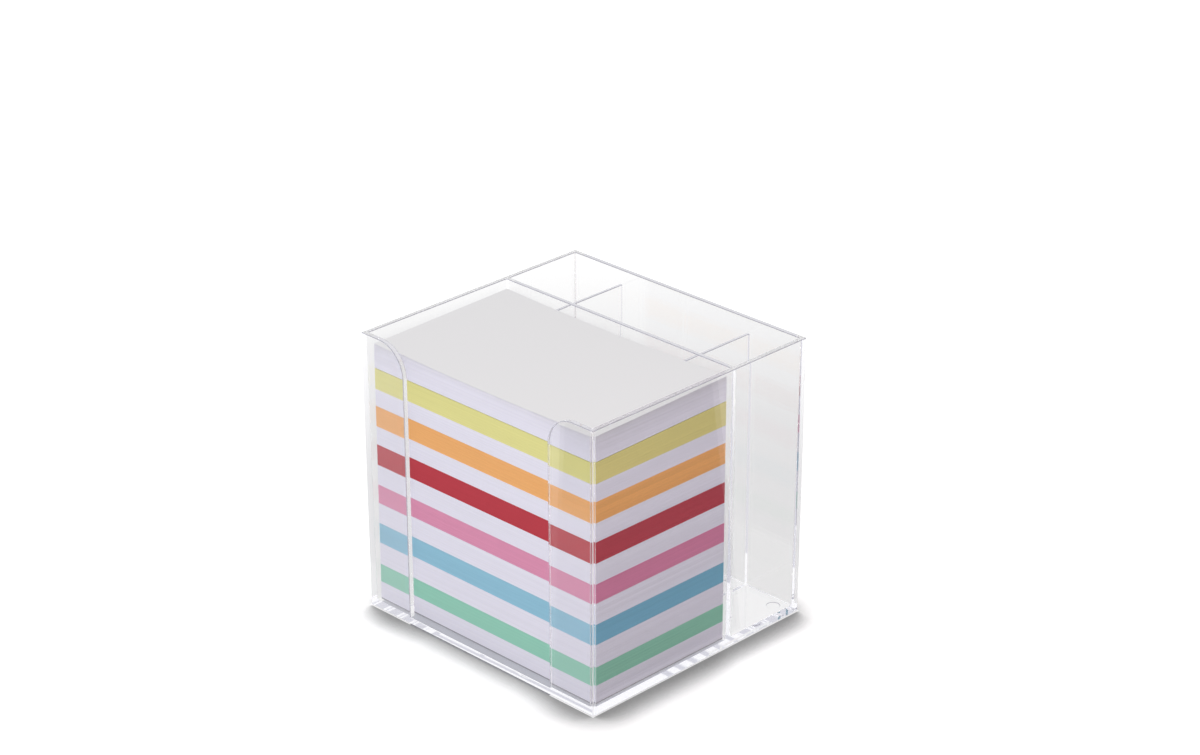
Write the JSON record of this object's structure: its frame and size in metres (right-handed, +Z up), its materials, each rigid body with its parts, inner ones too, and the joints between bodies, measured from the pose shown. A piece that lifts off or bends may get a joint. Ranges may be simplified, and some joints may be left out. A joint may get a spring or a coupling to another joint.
{
  "type": "memo holder",
  "caption": "Clear moulded desk holder with a pocket full of coloured note sheets, a finger cut-out in front and pen bays behind.",
  "frame": {"origin": "middle of the base's underside, on the surface that the holder stands on", "axes": "+Z up; -Y is the front, with the finger cut-out; +Y is the back, with the pen bays; X runs along the width"},
  "size_m": [0.096, 0.089, 0.091],
  "materials": {
    "clear_plastic": "clear polished polystyrene",
    "white_paper": "matt uncoated",
    "yellow_paper": "matt uncoated",
    "orange_paper": "matt uncoated",
    "red_paper": "matt uncoated",
    "pink_paper": "matt uncoated",
    "blue_paper": "matt uncoated",
    "green_paper": "matt uncoated"
  },
  "bodies": {
    "holder_body": {"holder": "clear_plastic"},
    "sheet_block": {"white_sheets_1": "white_paper", "green_sheets": "green_paper", "white_sheets_2": "white_paper", "blue_sheets": "blue_paper", "white_sheets_3": "white_paper", "pink_sheets": "pink_paper", "white_sheets_4": "white_paper", "red_sheets": "red_paper", "white_sheets_5": "white_paper", "orange_sheets": "orange_paper", "white_sheets_6": "white_paper", "yellow_sheets": "yellow_paper", "white_sheets_7": "white_paper"},
    "loose_sheet": {"top_sheet": "white_paper"}
  },
  "joints": [
    {"name": "block_lift", "type": "slide", "parent": "holder_body", "child": "sheet_block", "axis": [0, 0, 1], "range_m": [0, 0.1]},
    {"name": "top_sheet_lift", "type": "slide", "parent": "sheet_block", "child": "loose_sheet", "axis": [0, 0, 1], "range_m": [0, 0.03]}
  ]
}
